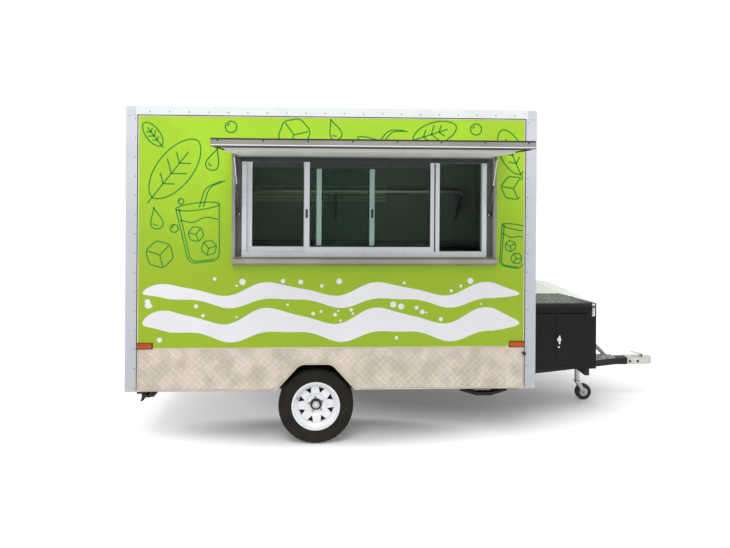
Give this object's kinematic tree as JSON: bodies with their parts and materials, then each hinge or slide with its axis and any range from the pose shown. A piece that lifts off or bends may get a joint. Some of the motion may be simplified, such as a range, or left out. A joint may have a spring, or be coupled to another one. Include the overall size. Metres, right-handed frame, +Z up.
{
  "type": "beverage trailer",
  "caption": "Single-axle enclosed drinks trailer with a serving window, lifting flap, drawbar locker and jockey jack.",
  "frame": {"origin": "centre of the tow ball socket, with the trailer standing level", "axes": "+X the way it is towed, -Y the serving side, +Z up"},
  "size_m": [4.7026, 2.84, 2.643],
  "materials": {
    "panel_green": "satin",
    "panel_white": "satin",
    "roof_white": "satin",
    "trim_white": "satin",
    "tread_plate": "satin",
    "chassis_black": "satin",
    "coupler_steel": "satin",
    "jack_zinc": "satin",
    "locker_black": "satin",
    "lid_tread": "satin",
    "tyre_rubber": "matte",
    "jack_rubber": "matte",
    "rim_white": "gloss",
    "hub_steel": "satin",
    "axle_black": "matte",
    "lining_grey": "satin",
    "sill_metal": "satin",
    "window_alu": "satin",
    "pane_glass": "gloss",
    "strut_black": "gloss",
    "rod_chrome": "gloss",
    "lamp_amber": "gloss",
    "lamp_red": "gloss",
    "knob_black": "satin",
    "worktop_steel": "brushed",
    "shelf_steel": "satin",
    "floor_ply": "satin",
    "handle_chrome": "gloss",
    "door_white": "satin"
  },
  "bodies": {
    "root": {"axle_beam": "axle_black", "chassis_frame": "chassis_black", "corner_trims": "trim_white", "coupler": "coupler_steel", "coupler_lever": "coupler_steel", "drawbar": "chassis_black", "drawbar_plate": "jack_zinc", "flap_hinge_wall": "window_alu", "floor_joists": "chassis_black", "floor_panel": "floor_ply", "jack_leg": "jack_zinc", "jamb_panels": "lining_grey", "leaf_springs": "axle_black", "locker_bearers": "chassis_black", "locker_shell": "locker_black", "marker_lamps": "lamp_amber", "opening_frame": "lining_grey", "plate_holder": "knob_black", "rear_door_hinges": "handle_chrome", "roof_panel": "roof_white", "roof_trim": "trim_white", "shelf_brackets": "shelf_steel", "shelf_rails": "shelf_steel", "side_knob": "knob_black", "stabilisers": "chassis_black", "strut_anchors": "strut_black", "tail_lamps": "lamp_red", "tread_skirts": "tread_plate", "wall_far": "panel_green", "wall_front": "panel_green", "wall_near": "panel_green", "wall_rear": "panel_green", "wheel_wells": "chassis_black", "window_frame": "window_alu", "window_panes": "pane_glass", "window_sashes": "window_alu", "window_sill": "sill_metal", "worktops": "worktop_steel"},
    "wheel_near": {"tyre_near": "tyre_rubber", "rim_near": "rim_white", "hub_near": "hub_steel"},
    "wheel_far": {"tyre_far": "tyre_rubber", "rim_far": "rim_white", "hub_far": "hub_steel"},
    "jack_swivel": {"jack_fork": "jack_zinc"},
    "jack_roller": {"jack_wheel": "jack_rubber"},
    "flap": {"flap_panel": "panel_white", "flap_hinge_leaf": "window_alu", "flap_brackets": "jack_zinc"},
    "strut_rear_lower": {"strut_rear_tube": "strut_black"},
    "strut_rear_upper": {"strut_rear_rod": "rod_chrome"},
    "strut_front_lower": {"strut_front_tube": "strut_black"},
    "strut_front_upper": {"strut_front_rod": "rod_chrome"},
    "entry_door": {"rear_door": "door_white", "rear_door_pane": "pane_glass", "rear_door_handle": "handle_chrome"},
    "locker_cover": {"locker_lid": "lid_tread"},
    "locker_leaf_rear": {"locker_door_rear": "locker_black"},
    "locker_leaf_front": {"locker_door_front": "locker_black", "locker_handle": "handle_chrome"}
  },
  "joints": [
    {"name": "wheel_near_spin", "type": "hinge", "parent": "root", "child": "wheel_near", "pos_m": [-3.16, -0.8775, -0.072], "axis": [0, 1, 0], "continuous": true},
    {"name": "wheel_far_spin", "type": "hinge", "parent": "root", "child": "wheel_far", "pos_m": [-3.16, 0.8775, -0.072], "axis": [0, 1, 0], "continuous": true},
    {"name": "jack_swivel_turn", "type": "hinge", "parent": "root", "child": "jack_swivel", "pos_m": [-0.687, 0, -0.186], "axis": [0, 0, 1], "continuous": true},
    {"name": "jack_wheel_roll", "type": "hinge", "parent": "jack_swivel", "child": "jack_roller", "pos_m": [-0.63, 0, -0.295], "axis": [0, 1, 0], "continuous": true},
    {"name": "flap_hinge", "type": "hinge", "parent": "root", "child": "flap", "pos_m": [-2.7595, -1.009, 1.92], "axis": [1, 0, 0], "range_deg": [0, 90]},
    {"name": "strut_rear_swing", "type": "hinge", "parent": "root", "child": "strut_rear_lower", "pos_m": [-3.769, -0.952, 1.443], "axis": [1, 0, 0], "range_deg": [-28.59, 0]},
    {"name": "strut_rear_slide", "type": "slide", "parent": "strut_rear_lower", "child": "strut_rear_upper", "axis": [0, -0.4998, 0.8661], "range_m": [-0.20805, 0]},
    {"name": "strut_front_swing", "type": "hinge", "parent": "root", "child": "strut_front_lower", "pos_m": [-1.79, -0.952, 1.443], "axis": [1, 0, 0], "range_deg": [-28.59, 0]},
    {"name": "strut_front_slide", "type": "slide", "parent": "strut_front_lower", "child": "strut_front_upper", "axis": [0, -0.4998, 0.8661], "range_m": [-0.20805, 0]},
    {"name": "entry_door_hinge", "type": "hinge", "parent": "root", "child": "entry_door", "pos_m": [-4.633, 0.3625, 1.1], "axis": [0, 0, -1], "range_deg": [0, 110]},
    {"name": "locker_lid_hinge", "type": "hinge", "parent": "root", "child": "locker_cover", "pos_m": [-1.388, 0, 0.6333], "axis": [0, -1, 0], "range_deg": [0, 70]},
    {"name": "locker_door_rear_hinge", "type": "hinge", "parent": "root", "child": "locker_leaf_rear", "pos_m": [-1.369, -0.583, 0.356], "axis": [0, 0, -1], "range_deg": [0, 95]},
    {"name": "locker_door_front_hinge", "type": "hinge", "parent": "root", "child": "locker_leaf_front", "pos_m": [-0.827, -0.583, 0.356], "axis": [0, 0, 1], "range_deg": [0, 95]}
  ],
  "couplings": [
    {"joint": "strut_rear_swing", "follows": "flap_hinge", "ratio": -0.31547},
    {"joint": "strut_rear_slide", "follows": "flap_hinge", "m_per_rad": -0.13181},
    {"joint": "strut_front_swing", "follows": "flap_hinge", "ratio": -0.31547},
    {"joint": "strut_front_slide", "follows": "flap_hinge", "m_per_rad": -0.13181}
  ]
}
